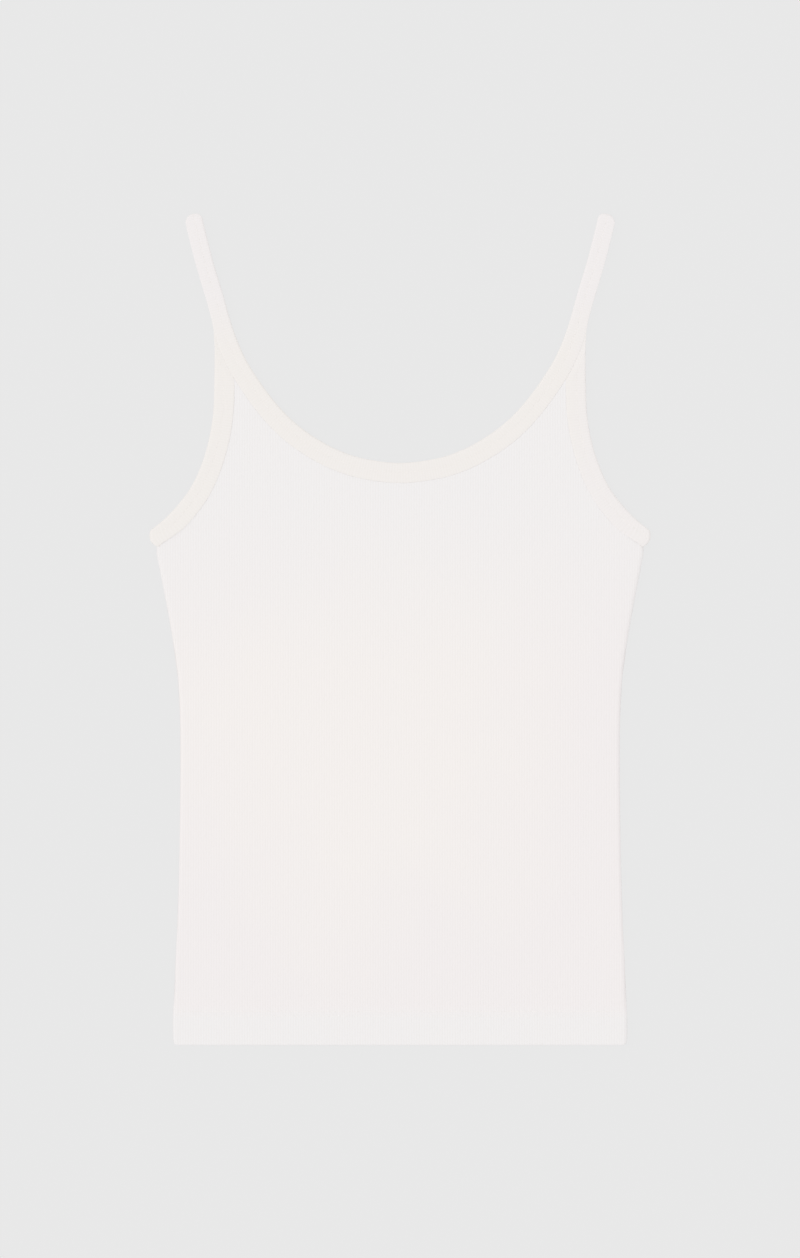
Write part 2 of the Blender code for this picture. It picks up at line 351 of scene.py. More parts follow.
def ribbed(x, height, pinch):
    """How far the furrows between the ribs lie below their crests."""
    furrow = 0.5 - 0.5 * np.cos(2 * math.pi * x / RIB)
    fade = np.clip((half_width(height) - np.abs(x)) / RIB_FADE, 0, 1)
    pressed = (1 - pinch) * (1 - RIB_PRESS * stitched_down(height))
    return RIB_RELIEF * furrow * fade * pressed


def beside_seam(height):
    """0 at the fold of the hem, and 1 above the corner, where the side is sewn."""
    return eased(height / CORNER_RISE)


def pressed_flat(outer, inner, x, height, pinch, middle, outward):
    """Two faces, flattened where a binding holds them and closed at the fold of the hem."""
    outer = outer + (middle + outward * TONGUE / 2 - outer) * pinch
    inner = inner + (middle - outward * TONGUE / 2 - inner) * pinch
    corner = rounded((half_width(height) - np.abs(x) + NOT_SHUT) / (HEM_WALL / 2))
    fold = rounded(np.maximum(height, NOT_SHUT) / (HEM_WALL / 2))
    fold = fold * (corner + (1 - corner) * beside_seam(height))
    middle = (outer + inner) / 2
    return middle + (outer - middle) * fold, middle + (inner - middle) * fold


def front_faces(x, height):
    """Levels of the front panel's outer and inner faces."""
    wall = wall_at(height)
    seam = wall + GAP
    inward = half_width(height) - np.abs(x)
    pinch = pinched(x, height)
    base = FRONT_BASE + creased(x, height)
    outer = base + wall - ribbed(x, height, pinch) - HEM_DENT * stitched_down(height)
    sewn = beside_seam(height)
    outer = outer + (seam - outer) * sewn * (1 - rounded(inward / SIDE_ROLL))
    level = rounded((inward - wall) / (SIDE_ROLL - wall))
    inner = base + (seam - base) * sewn * (1 - level)
    held_at = BINDING_BASE + BINDING_WALL * CAUGHT_AT
    return pressed_flat(outer, inner, x, height, pinch, held_at, 1)


def back_faces(x, height):
    """Levels of the back panel's outer face, which it lies on, and its inner face."""
    wall = wall_at(height)
    inward = half_width(height) - np.abs(x)
    pinch = pinched(x, height)
    outer = ribbed(x, height, pinch) + HEM_DENT * stitched_down(height)
    rise = UNDER_RISE * wall * (1 - rounded(inward / UNDER_ROLL))
    outer = outer + rise * beside_seam(height)
    held_at = BINDING_WALL * (1 - CAUGHT_AT)
    return pressed_flat(outer, wall + 0 * x, x, height, pinch, held_at, -1)


OUTER, INNER = 0, 1
SIDE_PLACE = 10**6  # the points at the sides are numbered on from here


def rib_columns(half, every):
    """A row's points: every so many of those up its ribs, and a few at each side."""
    side = half - np.array(SIDE_STEPS)
    step = RIB / POINTS_PER_RIB
    count = int((side[0] - step / 2) / step) // every
    ribs = np.arange(-count, count + 1) * every
    order = SIDE_PLACE + np.arange(len(side))
    place = np.concatenate([-order[::-1], ribs, order])
    return place, np.concatenate([-side[::-1], ribs * step, side])


def panel_rows(faces, face, heights, climb, every, inset=0.0):
    """Rows of points over a panel's outer or inner face."""
    rows = [(*rib_columns(half_width(height) - inset, every), height) for height in heights]
    place, x = rib_columns(CHEST - inset, every)
    top = top_line(np.abs(x), UNTUCKED)
    top = top + (top_line(np.abs(x), TUCK) - top) * caught(x)
    zone = np.minimum(EDGE_ZONE, (top - CHEST_HEIGHT) / 2)
    for share in np.linspace(0, 1, climb + 1)[1:]:
        rows.append((place, x, CHEST_HEIGHT + (top - zone - CHEST_HEIGHT) * share))
    for share in EDGE_ROWS:
        rows.append((place, x, top - zone * (1 - share)))
    made = []
    for place, x, height in rows:
        height = height + 0 * x
        made.append((place, np.stack([x, height + HEM_EDGE, faces(x, height)[face]], axis=1)))
    return made


def joined(one, other):
    """Faces between two rows of numbered points: quads where their places match."""
    (first, here), (second, there) = one, other
    i = j = 0
    while i < len(first) - 1 or j < len(second) - 1:
        next_here = here[i + 1] if i < len(first) - 1 else math.inf
        next_there = there[j + 1] if j < len(second) - 1 else math.inf
        if next_here == next_there:
            yield first[i], first[i + 1], second[j + 1], second[j]
        elif next_here < next_there:
            yield first[i], first[i + 1], second[j]
        else:
            yield first[i], second[j + 1], second[j]
        i += next_here <= next_there
        j += next_there <= next_here


def turned(faces):
    """The same faces, seen from their other side."""
    return [face[::-1] for face in faces]


def in_scene(name, data):
    """A new object in the scene."""
    made = bpy.data.objects.new(name, data)
    bpy.context.scene.collection.objects.link(made)
    return made


def new_piece(name, points, faces, coat):
    """A smooth mesh that goes with the garment."""
    mesh = bpy.data.meshes.new(name)
    mesh.from_pydata(np.asarray(points).tolist(), [], list(faces))
    mesh.shade_smooth()
    mesh.materials.append(coat)
    made = in_scene(name, mesh)
    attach(made, "root")
    return made


def sewn_panel(name, above, below, coat):
    """A closed panel between the rows of its upper face and those of its lower one."""
    points = np.vstack([row for _, row in above + below])
    upper, lower = [], []
    start = 0
    for numbered, rows in ((upper, above), (lower, below)):
        for place, row in rows:
            numbered.append((list(range(start, start + len(row))), place.tolist()))
            start += len(row)

    faces = []
    for low, high in zip(upper, upper[1:]):
        faces += joined(low, high)
    for low, high in zip(lower, lower[1:]):
        faces += turned(joined(low, high))
    faces += joined(lower[0], upper[0])
    faces += turned(joined(lower[-1], upper[-1]))
    for end in (0, -1):
        edges = []
        for rows in (lower, upper):
            numbers = [row[end] for row, _ in rows]
            edges.append((numbers, [round(points[number][1], 6) for number in numbers]))
        side = joined(*edges)
        faces += side if end else turned(side)
    return new_piece(name, points, faces, coat)


def linear(colour):
    """An sRGB hex colour as linear red, green, blue and alpha."""
    parts = [int(colour[place : place + 2], 16) / 255 for place in (1, 3, 5)]
    return (*(v / 12.92 if v < 0.04045 else ((v + 0.055) / 1.055) ** 2.4 for v in parts), 1.0)


def new_coat(name, settings):
    """A new material, its tree of nodes, and its shader with these settings."""
    made = bpy.data.materials.new(name)
    made.use_nodes = True
    shader = made.node_tree.nodes["Principled BSDF"]
    for setting, value in settings.items():
        shader.inputs[setting].default_value = value
    return made, made.node_tree, shader


def add_node(tree, kind, inputs, **settings):
    """A new node: inputs holds values or sockets, by the name or number of the input."""
    made = tree.nodes.new(kind)
    for name, value in settings.items():
        setattr(made, name, value)
    for name, value in inputs.items():
        if isinstance(value, bpy.types.NodeSocket):
            tree.links.new(value, made.inputs[name])
        else:
            made.inputs[name].default_value = value
    return made


def worked_out(tree, operation, one, other=0.0):
    """The output of a node that works out one number from two."""
    return add_node(tree, "ShaderNodeMath", {0: one, 1: other}, operation=operation).outputs[0]


def risen(tree, value, start, end):
    """A socket that rises from 0 to 1 as value runs from start to end."""
    inputs = {"Value": value, "From Min": start, "From Max": end}
    return add_node(tree, "ShaderNodeMapRange", inputs).outputs["Result"]


def mixed(tree, share, one, other, way="MIX"):
    """A socket with two colours mixed: share of the other."""
    inputs = {0: share, 6: one, 7: other}
    made = add_node(tree, "ShaderNodeMix", inputs, data_type="RGBA", blend_type=way)
    return made.outputs[2]


COTTON_IOR = 1.53
COURSE = 0.0010  # height of a knitted loop: about 0.7 mm, drawn larger so that it shows
LOOP_LEAN = 1.3  # courses that a loop leans by, from a rib's crest to its furrow
LOOP_RELIEF = 0.00002
LOOP_SHARE = 0.4  # how much the loops rise, against the fuzz
FUZZ = 0.0006  # tufts of loose fibre: far finer on the yarn, drawn larger so that they show
MOTTLE = 0.11  # size of the soft patches in which the shade of the yarn varies
WARM_LIT_MIDDLE = (-0.02, HEM_EDGE + 0.25)  # the body is warmest and lightest round this place, partly the yarn's tone and partly painted light
WARM_LIT_REACH = (0.19, 0.21)  # and least warm and darkest, with painted shade, this far from it, across and up
WARM_TO_SHADED_FADE = (0.9, 1.5)  # from warm and lit to rosier with painted shade
YOKE_FADE = (HEM_EDGE + 0.27, HEM_EDGE + 0.40)  # the cloth is cooler above these heights
HEM_FADE = (HEM_EDGE + 0.028, HEM_EDGE + 0.020)  # and in the hem
STRAP_FADE = (HEM_EDGE + 0.50, HEM_EDGE + 0.54)  # a binding is cooler along the strap
LEFT_COOL_LIGHT_FADE = (0.118, 0.136)  # and round the left armhole, where cooler light is painted on
LEFT_COOL_LIGHT_SHARE = 0.7  # but only by this share


def cotton_knit(name, warm, rosy_shaded, cool, furrow, on_strip=False):
    """Combed cotton, rib-knitted: matt and a little downy, with loops up each rib, and painted
    shade darkening the furrows between the ribs.

    A strip has its own measure of the cloth, and a panel's is the garment's.
    """
    downy = {
        "IOR": COTTON_IOR,
        "Roughness": 0.92,
        "Specular IOR Level": 0.25,
        "Sheen Weight": 0.40,
        "Sheen Roughness": 0.35,
    }
    made, tree, shader = new_coat(name, downy)

    place = add_node(tree, "ShaderNodeTexCoord", {}).outputs["Object"]
    cloth = place
    if on_strip:
        cloth = add_node(tree, "ShaderNodeUVMap", {}, uv_map="cloth").outputs["UV"]
    axes = add_node(tree, "ShaderNodeSeparateXYZ", {"Vector": cloth}).outputs
    ribs = worked_out(tree, "DIVIDE", axes["X"], RIB)
    off_crest = worked_out(tree, "PINGPONG", ribs, 0.5)

    lean = worked_out(tree, "MULTIPLY", off_crest, LOOP_LEAN)
    loops = worked_out(tree, "ADD", worked_out(tree, "DIVIDE", axes["Y"], COURSE), lean)
    loops = worked_out(tree, "SINE", worked_out(tree, "MULTIPLY", loops, 2 * math.pi))
    fuzz = add_node(tree, "ShaderNodeTexNoise", {"Vector": place, "Scale": 1 / FUZZ})
    relief = worked_out(tree, "MULTIPLY", loops, LOOP_SHARE)
    relief = worked_out(tree, "ADD", relief, fuzz.outputs["Fac"])
    bump = {"Strength": 0.5, "Distance": LOOP_RELIEF, "Height": relief}
    bump = add_node(tree, "ShaderNodeBump", bump)
    tree.links.new(bump.outputs["Normal"], shader.inputs["Normal"])

    patches = {"Vector": place, "Scale": 1 / MOTTLE, "Detail": 3.0}
    patches = add_node(tree, "ShaderNodeTexNoise", patches).outputs["Fac"]
    # Painted light falling off: lighter and warmer round the middle, darker and rosier towards
    # the sides and hem, mixed with random patches of the yarn's own tone.
    apart = {"Vector": place, "Location": (*WARM_LIT_MIDDLE, 0), "Scale": (*WARM_LIT_REACH, 1)}
    apart = add_node(tree, "ShaderNodeMapping", apart, vector_type="TEXTURE").outputs[0]
    apart = add_node(tree, "ShaderNodeVectorMath", {0: apart}, operation="LENGTH")
    rosy_tone_and_falloff = worked_out(tree, "ADD", apart.outputs["Value"], patches)
    shade = mixed(tree, risen(tree, rosy_tone_and_falloff, *WARM_TO_SHADED_FADE), linear(warm), linear(rosy_shaded))
    where = add_node(tree, "ShaderNodeSeparateXYZ", {"Vector": place}).outputs
    height = where["Y"]
    if on_strip:
        # Painted light: the binding round the left armhole gets a cooler tint for the light
        # falling on that side.
        left = worked_out(tree, "MULTIPLY", risen(tree, where["X"], *LEFT_COOL_LIGHT_FADE), LEFT_COOL_LIGHT_SHARE)
        cooler = worked_out(tree, "MAXIMUM", left, risen(tree, height, *STRAP_FADE))
    else:
        yoke = risen(tree, height, *YOKE_FADE)
        cooler = worked_out(tree, "MAXIMUM", yoke, risen(tree, height, *HEM_FADE))
    shade = mixed(tree, cooler, shade, linear(cool))
    # Painted shade: the colour is multiplied darker down each furrow between the ribs, where
    # shade would fall.
    depth = worked_out(tree, "MULTIPLY", off_crest, 2.0)
    shade = mixed(tree, depth, shade, linear(furrow), "MULTIPLY")
    tree.links.new(shade, shader.inputs["Base Color"])
    return made


# furrow is the painted shade that darkens the furrows between the ribs.
PANEL_KNIT = cotton_knit(
    "off-white rib knit", warm="#F6F2F0", rosy_shaded="#F4F0F0", cool="#F3F1F1", furrow="#FCFBFA"
)
FINE = {"heights": ROWS, "climb": CLIMB, "every": 1}
COARSE = {"heights": COARSE_ROWS, "climb": COARSE_CLIMB, "every": POINTS_PER_RIB}

BACK = sewn_panel(
    "back_panel_knit",
    panel_rows(back_faces, INNER, **COARSE),
    panel_rows(back_faces, OUTER, **FINE),
    PANEL_KNIT,
)
FRONT = sewn_panel(
    "front_panel_knit",
    panel_rows(front_faces, OUTER, **FINE),
    panel_rows(front_faces, INNER, inset=CLOTH, **COARSE),
    PANEL_KNIT,
)
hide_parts("back_panel")
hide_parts("front_panel")

# Hem and side stitching
#
# Spun polyester sewing thread in the colour of the cloth. Two rows of short
# stitches hold the turned-up hem, and a seam closes each side.

THREAD = 0.00013  # radius
THREAD_SIDES = 6
POLYESTER_IOR = 1.6
PLY = 0.0012  # length of one turn of the plies
PLY_RELIEF = 0.00004

STITCH = 0.0032  # from one stitch to the next
STITCH_LENGTH = 0.0027
STITCH_DIP = 0.8 * THREAD  # its ends go down into the cloth by up to this much
HEM_STANDS = 0.2 * THREAD  # the middle of the thread lies this far off the hem
HEM_ENDS = 0.002  # a row stops this far from the side
HEM_STEPS = 1400  # points along a row
OFF_TABLE = 0.00002  # the thread under the back stays this far above the table

# A stitch: place along it, share of the thread's radius.
STITCH_SHAPE = (
    (0.00, 0.3),
    (0.12, 0.8),
    (0.35, 1.0),
    (0.65, 1.0),
    (0.88, 0.8),
    (1.00, 0.3),
)

SEAM_THREAD = 0.45 * GAP  # radius: it nearly fills the gap between the panels
SEAM_INSET = 0.0004
SEAM_TOP = CHEST_HEIGHT + 0.006
SEAM_SPACING = 0.002  # of the points along it


def sewing_thread(name, colour):
    """Spun polyester, two plies twisted together: smoother than the knit, with a low sheen and a
    painted highlight along the plies.
    """
    spun = {"IOR": POLYESTER_IOR, "Roughness": 0.6, "Sheen Weight": 0.1}
    made, tree, shader = new_coat(name, spun)
    place = add_node(tree, "ShaderNodeTexCoord", {}).outputs["Object"]
    plies = {"Vector": place, "Scale": 1 / PLY, "Distortion": 2.0}
    plies = add_node(tree, "ShaderNodeTexWave", plies, bands_direction="DIAGONAL")
    bump = {"Strength": 0.4, "Distance": PLY_RELIEF, "Height": plies.outputs["Fac"]}
    bump = add_node(tree, "ShaderNodeBump", bump)
    tree.links.new(bump.outputs["Normal"], shader.inputs["Normal"])
    # Painted highlight: the colour is mixed towards near-white along the crests of the plies.
    shade = mixed(tree, plies.outputs["Fac"], linear(colour), linear("#FFFDFA"))
    tree.links.new(shade, shader.inputs["Base Color"])
    return made


def threaded(path, facing, radii):
    """Rings of points round a thread that follows a path, with its outer side facing."""
    run = np.gradient(path, axis=0)
    run /= np.linalg.norm(run, axis=1)[:, None]
    side = np.cross(run, facing)
    rings = []
    for angle in np.arange(THREAD_SIDES) * 2 * math.pi / THREAD_SIDES:
        out = side * math.cos(angle) + facing * math.sin(angle)
        rings.append(path + out * radii[:, None])
    return np.stack(rings, axis=1)


def skinned(rings, start=0):
    """Faces over a row of rings of points, closed at both ends."""
    count, around = rings.shape[:2]
    number = start + np.arange(count * around).reshape(count, around)
    beside = np.roll(number, -1, axis=1)
    quads = np.stack([number[:-1], number[1:], beside[1:], beside[:-1]], axis=2)
    ends = [number[0].tolist(), number[-1][::-1].tolist()]
    return quads.reshape(-1, 4).tolist() + ends


def stitched(name, lines, coat):
    """Rows of stitches. Each line is points, the ways that they face, and where it starts."""
    points, faces = [], []
    for line, facing, start in lines:
        away = length_along(line)
        shares, swell = np.array(STITCH_SHAPE).T
        for begin in np.arange(start, away[-1] - STITCH_LENGTH, STITCH):
            at = begin + shares * STITCH_LENGTH
            path = np.stack([np.interp(at, away, line[:, k]) for k in range(3)], axis=1)
            out = np.stack([np.interp(at, away, facing[:, k]) for k in range(3)], axis=1)
            path = path - out * (STITCH_DIP * (1 - swell))[:, None]
            rings = threaded(path, out, THREAD * swell)
            faces += skinned(rings, len(points))
            points += rings.reshape(-1, 3).tolist()
    return new_piece(name, points, faces, coat)


PANEL_THREAD = sewing_thread("off-white sewing thread", "#F4EFEB")
UP = np.array((0.0, 0.0, 1.0))


def hem_lines(faces, outward):
    """The lines that a panel's two rows of hem stitches follow."""
    for number, height in enumerate(HEM_ROWS):
        end = half_width(height) - HEM_ENDS
        x = np.linspace(-end, end, HEM_STEPS)
        level = np.full(len(x), height)
        crest = faces(np.round(x / RIB) * RIB, level)[0]
        sunk = faces(x, level)[0]
        z = (crest + sunk) / 2 + outward * HEM_STANDS
        if outward < 0:
            z = np.maximum(z, THREAD + OFF_TABLE)
        line = np.stack([x, level + HEM_EDGE, z], axis=1)
        yield line, np.tile(UP * outward, (len(x), 1)), number * STITCH / 2


FRONT_HEM = stitched("front_hem_stitches", hem_lines(front_faces, 1), PANEL_THREAD)
BACK_HEM = stitched("back_hem_stitches", hem_lines(back_faces, -1), PANEL_THREAD)


def side_seam(name, side):
    """The thread that closes a side, between the edges of the two panels."""
    height = np.arange(CORNER_RISE, SEAM_TOP, SEAM_SPACING)
    x = side * (half_width(height) - SEAM_INSET)
    z = wall_at(height) + GAP / 2
    path = np.stack([x, height + HEM_EDGE, z], axis=1)
    rings = threaded(path, np.tile(UP, (len(path), 1)), np.full(len(path), SEAM_THREAD))
    return new_piece(name, rings.reshape(-1, 3), skinned(rings), PANEL_THREAD)


SEAMS = [side_seam("side_seam_left", 1), side_seam("side_seam_right", -1)]


def panel_area():
    """Area of a panel's flat cloth, up to its raw edges inside the bindings."""
    widths = half_width(np.linspace(0, CHEST_HEIGHT, AREA_STEPS))
    top = top_line(np.abs(np.linspace(-CHEST, CHEST, AREA_STEPS)), TUCK)
    below = float(np.mean(widths)) * CHEST_HEIGHT
    return 2 * (below + float(np.mean(top - CHEST_HEIGHT)) * CHEST)


PANEL_SHEET = {"flat": PANEL_CUT, "area": panel_area(), "held": "laid"}

# Armhole bindings
#
# A strip of the same knit round each armhole, cut across the ribs, folded in
# over the raw edge and sewn through. It turns under the arm and ends beside
# the neck binding.

BINDING_TIP = 0.0004  # its width where it ends
TIP_TUCK = 0.0005  # its end is caught this far under the neck binding
TIP_FADE = 0.0035  # and its outer face is pressed down over this width
TIP_UNDER_FADE = 0.0006  # and its inner face over this width
TIP_EDGE = 0.0002  # which starts this far from the neck binding's edge
TIP_WALL = 0.57  # to this share of its thickness
FOLD_STEPS = 14  # round the turn of a fold
FOLD_NARROWS = 0.15  # share of the width lost at the outside of a fold
FOLD_REACH = 0.012  # a fold's corners are drawn back over this length
SHUT_FROM = 0.84  # and its slot shuts between these shares of that
SHUT_BY = 0.96
SHUT_SHARE = 0.95  # and not quite, so that its sides don't touch
CROWN = 0.00015  # how much fuller the middle of the upper face is
BINDING_RELIEF = 0.00002  # its ribs, stretched nearly flat
STITCH_LINE = 0.47  # place of the stitching across a binding
STITCH_DENT = 0.00012
STITCH_DENT_WIDTH = 0.10  # as a share of the binding's width
STITCH_STANDS = 0.3 * THREAD  # the middle of the thread lies this far off the dent

# Cross-section of a folded strip: place across it, from its free edge to its
# sewn edge, and place through it, from its inner face to its outer face. It
# runs along the inner face, round the slot that the cloth is caught in, and
# back along the outer face.
STRIP_SECTION = (
    (0.015, 0.00),
    (0.35, 0.00),
    (0.70, 0.00),
    (0.985, 0.00),
    (1.00, 0.06),
    (1.00, 0.49),
    (0.985, 0.565),
    (0.60, 0.565),
    (0.12, 0.59),
    (0.08, CAUGHT_AT),
    (0.12, 0.85),
    (0.60, 0.875),
    (0.985, 0.875),
    (1.00, 0.90),
    (0.994, 0.935),
    (0.98, 0.965),
    (0.96, 0.988),
    (0.92, 1.00),
    (0.82, 1.00),
    (0.74, 1.00),
    (0.66, 1.00),
    (0.58, 1.00),
    (0.53, 1.00),
    (0.50, 1.00),
    (STITCH_LINE, 1.00),
    (0.44, 1.00),
    (0.41, 1.00),
    (0.36, 1.00),
    (0.29, 1.00),
    (0.22, 1.00),
    (0.15, 1.00),
    (0.10, 0.99),
    (0.055, 0.93),
    (0.02, 0.79),
    (0.00, 0.50),
    (0.00, 0.18),
)
SLOT = slice(5, 14)  # the part of the section round the slot
LIPS = [6, 12]  # the points just inside its mouth
UPPER_FACE = 0.9  # the outer face is all that lies above this

# How far the fold at the underarm is drawn back: place across it, distance.
UNDERARM_END = (
    (0.00, 0.0002),
    (0.13, -0.0006),
    (0.35, -0.0012),
    (0.56, -0.0013),
    (0.70, -0.0008),
    (0.82, 0.0001),
    (0.92, 0.0011),
    (1.00, 0.0022),
)


def beside_neck(free, across):
    """An armhole binding's lines, narrowed to a tip under the neck binding."""
    neck_free, neck_across = neck_lines()
    neck_sewn = neck_free + neck_across
    neck_at = np.interp((free + across)[:, 1], neck_sewn[:, 1], neck_sewn[:, 0])
    room = free[:, 0] - neck_at + TIP_TUCK
    across = across * np.minimum(1.0, room / -across[:, 0])[:, None]
    last = int(np.argmax(room < BINDING_TIP))
    return free[:last], across[:last]


def folded(free, across, edge, over, towards):
    """Rings of a strip over the front and round to the back, before its section is drawn.

    edge, over and towards are its free edge, its width and the way it points at
    the fold. Each ring has its free edge, its width, the way out of it, the share
    of the crown, and how far the end's shape draws it back.
    """
    level = np.zeros((len(free), 1))
    away = np.arange(len(free), 0, -1)[:, None] * RING
    drawn = eased(1 - away / FOLD_REACH)
    front = np.hstack([free, level + BINDING_BASE])
    back = np.hstack([free, level + BINDING_WALL])
    width = np.hstack([across, level])
    up = np.tile(UP, (len(free), 1))

    angle = np.linspace(0, math.pi, FOLD_STEPS + 1)[:, None]
    edge, over, towards = (np.array((*place, 0.0)) for place in (edge, over, towards))
    outward = towards * np.sin(angle) + UP * np.cos(angle)
    narrowed = FOLD_NARROWS / 2 * (1 - np.abs(np.cos(angle)))
    turn = edge + over * narrowed + UP * (BINDING_BASE + BINDING_WALL) / 2 + outward * GAP / 2
    return (
        np.vstack([front, turn, back[::-1]]),
        np.vstack([width, over * (1 - 2 * narrowed), width[::-1]]),
        np.vstack([up, outward, -up]),
        np.vstack([level + 1, np.maximum(np.cos(angle), 0), level]),
        np.vstack([drawn, angle * 0 + 1, drawn[::-1]]) * -towards,
    )


NECK_SIDE = marked(SEWN_NECK)


def caught_tip(places, lift):
    """How far a strip's points lift off its inner face, less where the neck binding holds it."""
    x, height = places[..., 0], places[..., 1]
    inside = x < np.interp(height, SEWN_NECK[:, 1], SEWN_NECK[:, 0])
    away = np.where(inside, 0.0, away_from(NECK_SIDE, x, height))
    held_at = BINDING_WALL * CAUGHT_AT
    fade = np.where(lift < held_at, TIP_UNDER_FADE, TIP_FADE)
    under = eased(1 - (away - TIP_EDGE) / fade)
    return held_at + (lift - held_at) * (1 - (1 - TIP_WALL) * under)


def uncaught(places, lift):
    """The same for a strip that runs on freely."""
    return lift


def crowned(across):
    """How much fuller the outer face is at a place across it."""
    return CROWN * 4 * across * (1 - across)


def strip_rings(edge, width, outward, crown, drawn, end, tip, closed=0.0):
    """The points of a folded strip, ring by ring. closed is 1 where its edges meet."""
    across, through = np.tile(np.array(STRIP_SECTION).T[:, None], (1, len(edge), 1))
    at_fold = np.linalg.norm(drawn, axis=1)[:, None]
    closed = np.maximum(closed, eased((at_fold - SHUT_FROM) / (SHUT_BY - SHUT_FROM)))
    through[:, SLOT] += (CAUGHT_AT - through[:, SLOT]) * SHUT_SHARE * closed
    across[:, LIPS] += (1 - across[:, LIPS]) * closed
    lift = through * BINDING_WALL
    furrow = 0.5 - 0.5 * np.cos(np.arange(len(edge)) * 2 * math.pi * RING / RIB)
    dent = np.exp(-(((across - STITCH_LINE) / STITCH_DENT_WIDTH) ** 2))
    relief = crown * crowned(across)
    relief = relief - STITCH_DENT * dent - BINDING_RELIEF * furrow[:, None] * (1 - dent)
    lift = np.where(through > UPPER_FACE, lift + relief, lift)
    back = np.interp(across, *np.array(end).T)
    rings = edge[:, None] + width[:, None] * across[:, :, None]
    lift = tip(rings, lift)
    return rings + outward[:, None] * lift[:, :, None] + drawn[:, None] * back[:, :, None]


def strip(name, rings, width, coat):
    """A folded strip, with its cloth measured along and across it."""
    made = new_piece(name, rings.reshape(-1, 3), skinned(rings), coat)
    count, around = rings.shape[:2]
    along = np.repeat(np.arange(count) * RING, around)
    across = np.outer(np.linalg.norm(width, axis=1), [place for place, _ in STRIP_SECTION])
    corners = np.empty(len(made.data.loops), dtype=np.int32)
    made.data.loops.foreach_get("vertex_index", corners)
    measure = np.stack([along, across.ravel()], axis=1)[corners]
    made.data.uv_layers.new(name="cloth").data.foreach_set("uv", measure.ravel())
    return made


def binding_line(edge, width, outward, crown, drawn, end, tip):
    """The line that a binding's stitches follow, the ways that it faces, and where it starts."""
    line = edge + width * STITCH_LINE
    lift = BINDING_WALL + crown[:, 0] * crowned(STITCH_LINE)
    lift = tip(line, lift - STITCH_DENT) + STITCH_STANDS
    line = line + outward * lift[:, None] + drawn * np.interp(STITCH_LINE, *np.array(end).T)
    return line, outward, 0.0


# furrow is the painted shade that darkens the furrows between the ribs.
BINDING_KNIT = cotton_knit(
    "off-white binding knit",
    warm="#F3EFED",
    rosy_shaded="#F3EFEC",
    cool="#F3EFEF",
    furrow="#FDFDFC",
    on_strip=True,
)
BINDING_THREAD = sewing_thread("off-white binding thread", "#F4EFEA")
MIRRORED = np.array((-1.0, 1.0, 1.0))


def armhole_strip():
    """The left armhole binding from its end on the front to its end on the back."""
    free, across = beside_neck(*armhole_lines())
    fold = np.array(UNDERARM_SEWN) - np.array(UNDERARM_FREE)
    towards = np.array((-fold[1], fold[0])) / np.linalg.norm(fold)
    return folded(free[::-1], across[::-1], UNDERARM_FREE, fold, towards)


def on_surface(points):
    """Points given by height, moved to the garment's place."""
    return points + np.array((0.0, HEM_EDGE, 0.0))


ARMHOLE = armhole_strip()
ARMHOLE_RINGS = on_surface(strip_rings(*ARMHOLE, UNDERARM_END, caught_tip))
ARMHOLE_LEFT = strip("armhole_binding_left_knit", ARMHOLE_RINGS, ARMHOLE[1], BINDING_KNIT)
ARMHOLE_RIGHT = strip(
    "armhole_binding_right_knit",
    (ARMHOLE_RINGS * MIRRORED)[::-1],
    ARMHOLE[1][::-1],
    BINDING_KNIT,
)
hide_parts("armhole_binding_left")
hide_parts("armhole_binding_right")

LINE, FACING, START = binding_line(*ARMHOLE, UNDERARM_END, caught_tip)
LINE = on_surface(LINE)
STITCHES_LEFT = stitched(
    "armhole_stitches_left", [(LINE, FACING, START)], BINDING_THREAD
)
STITCHES_RIGHT = stitched(
    "armhole_stitches_right",
    [((LINE * MIRRORED)[::-1], (FACING * MIRRORED)[::-1], START)],
    BINDING_THREAD,
)


def strip_sheet(line):
    """Works out the flat size of a binding's cloth, both of its sides and as long as its
    stitching, and keeps nothing.
    """
    flat = (2 * BINDING_WIDTH, float(length_along(line)[-1]))


strip_sheet(LINE)
strip_sheet(LINE)

# Neck binding and straps
#
# One strip of the same knit, folded in over the neck edge and sewn through.
# It leaves the neck at each side, closed on itself, as a strap that folds over
# the shoulder, and its ends meet in the middle of the back.

CLOSING = (0.5165, 0.5195)  # the strip closes on itself between these heights
HALF_JOIN = 0.00005  # its ends stop this far from the middle of the back

# How far the fold at the top of a strap is drawn back: place across it, distance.
STRAP_END = (
    (0.00, 0.0016),
    (0.06, 0.0007),
    (0.20, -0.0001),
    (0.45, -0.0006),
    (0.62, -0.0005),
    (0.79, 0.0002),
    (0.90, 0.0014),
    (1.00, 0.0034),
)


def neck_strip():
    """The left half of the strip, from the middle of the front to that of the back."""
    free, across = neck_lines()
    towards = free[-1] - free[-2]
    towards /= np.linalg.norm(towards)
    made = folded(free[:-1], across[:-1], free[-1], across[-1], towards)
    made[0][-1, 0] = HALF_JOIN
    return made


def both_halves(values, mirror):
    """A row of values for the whole strip, from those of its left half."""
    return np.concatenate([(values * mirror)[:0:-1], values])


HALF_STRIP = neck_strip()
CLOSED = eased((HALF_STRIP[0][:, 1:2] - CLOSING[0]) / (CLOSING[1] - CLOSING[0]))
HALF = strip_rings(*HALF_STRIP, STRAP_END, uncaught, CLOSED)
NECK = strip(
    "neck_binding_and_straps_knit",
    on_surface(both_halves(HALF, MIRRORED)),
    both_halves(HALF_STRIP[1], MIRRORED),
    BINDING_KNIT,
)
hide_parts("neck_binding_and_straps")

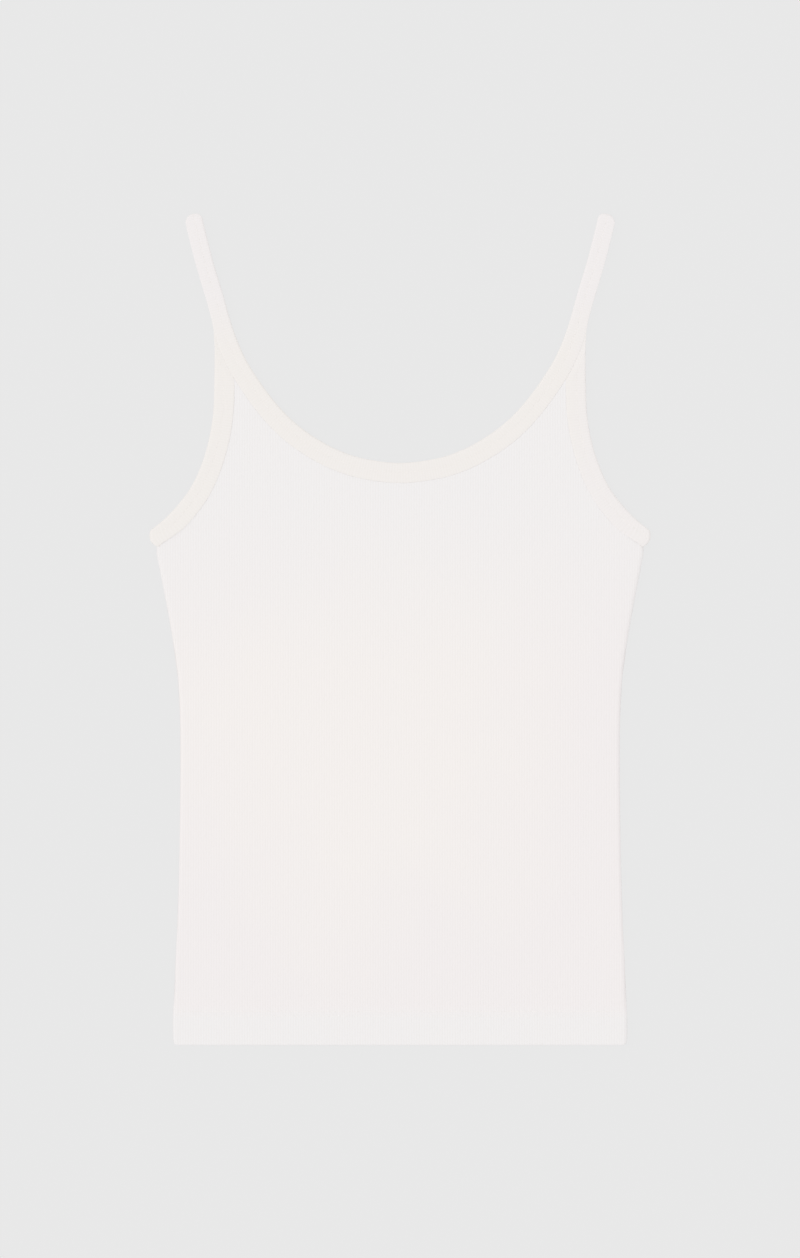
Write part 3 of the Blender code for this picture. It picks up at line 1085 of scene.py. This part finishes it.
LINE, FACING, START = binding_line(*HALF_STRIP, STRAP_END, uncaught)
LINE = on_surface(both_halves(LINE, MIRRORED))
FACING = both_halves(FACING, MIRRORED)
NECK_STITCHES = stitched("neck_stitches", [(LINE, FACING, START)], BINDING_THREAD)
strip_sheet(LINE)

# Table, lights and camera
#
# A plain pale table top with the garment laid on it, under a large soft light
# overhead and a weaker one from the left, seen from straight above.

TABLE_REACH = 60  # far enough that its edge is out of sight
TABLE_LEVEL = -0.0001
TABLE_GLOW = 0.76
CORNERS = ((-1, -1), (1, -1), (1, 1), (-1, 1))

table_mesh = bpy.data.meshes.new("table")
table_points = [(x * TABLE_REACH, y * TABLE_REACH, TABLE_LEVEL) for x, y in CORNERS]
table_mesh.from_pydata(table_points, [], [(0, 1, 2, 3)])
table = in_scene("table", table_mesh)

# A matt board that is lit from inside, so that hardly a shadow shows on it.
board = {
    "Base Color": linear("#3F3F3F"),
    "Roughness": 1.0,
    "Specular IOR Level": 0.0,
    "Emission Color": linear("#FFFFFF"),
    "Emission Strength": TABLE_GLOW,
}
table_mesh.materials.append(new_coat("pale table top", board)[0])
table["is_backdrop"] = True

ROOM_LIGHT = 0.863  # even, from all round
OVERHEAD_WIDTH = 1.2
OVERHEAD_WATTS = 4.6
OVERHEAD_PLACE = (-0.05, 0.02, 2.4)
WINDOW_SPREAD = 25  # degrees
WINDOW_LIGHT = 0.30
WINDOW_TILT = (-9, -54, 0)  # degrees

room = bpy.data.worlds.new("room")
room.use_nodes = True
air = room.node_tree.nodes["Background"]
air.inputs["Color"].default_value = linear("#FFFFFF")
air.inputs["Strength"].default_value = ROOM_LIGHT
bpy.context.scene.world = room

overhead_lamp = bpy.data.lights.new("overhead light", "AREA")
overhead_lamp.shape = "DISK"
overhead_lamp.size = OVERHEAD_WIDTH
overhead_lamp.energy = OVERHEAD_WATTS
overhead = in_scene("overhead light", overhead_lamp)
overhead.location = OVERHEAD_PLACE

window_lamp = bpy.data.lights.new("window light", "SUN")
window_lamp.angle = math.radians(WINDOW_SPREAD)
window_lamp.energy = WINDOW_LIGHT
window = in_scene("window light", window_lamp)
window.rotation_euler = [math.radians(tilt) for tilt in WINDOW_TILT]

LENS = 85  # mm
SENSOR = 36  # mm
PIXEL = 0.00072  # what one pixel covers of the garment
VIEW_HEIGHT = 1258 * PIXEL
CAMERA_ABOVE = (-0.00007, 0.00022)  # the camera is above this place
FRONT_LEVEL = 0.0035  # and its distance is measured from this height

camera_data = bpy.data.cameras.new("camera")
camera_data.lens = LENS
camera_data.sensor_width = SENSOR
camera = in_scene("camera", camera_data)
camera.location = (*CAMERA_ABOVE, FRONT_LEVEL + VIEW_HEIGHT * LENS / SENSOR)
bpy.context.scene.camera = camera
bpy.context.scene.view_settings.view_transform = "Standard"

[[list(corner) for corner in box] for box in (CAD_BOX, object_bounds())]
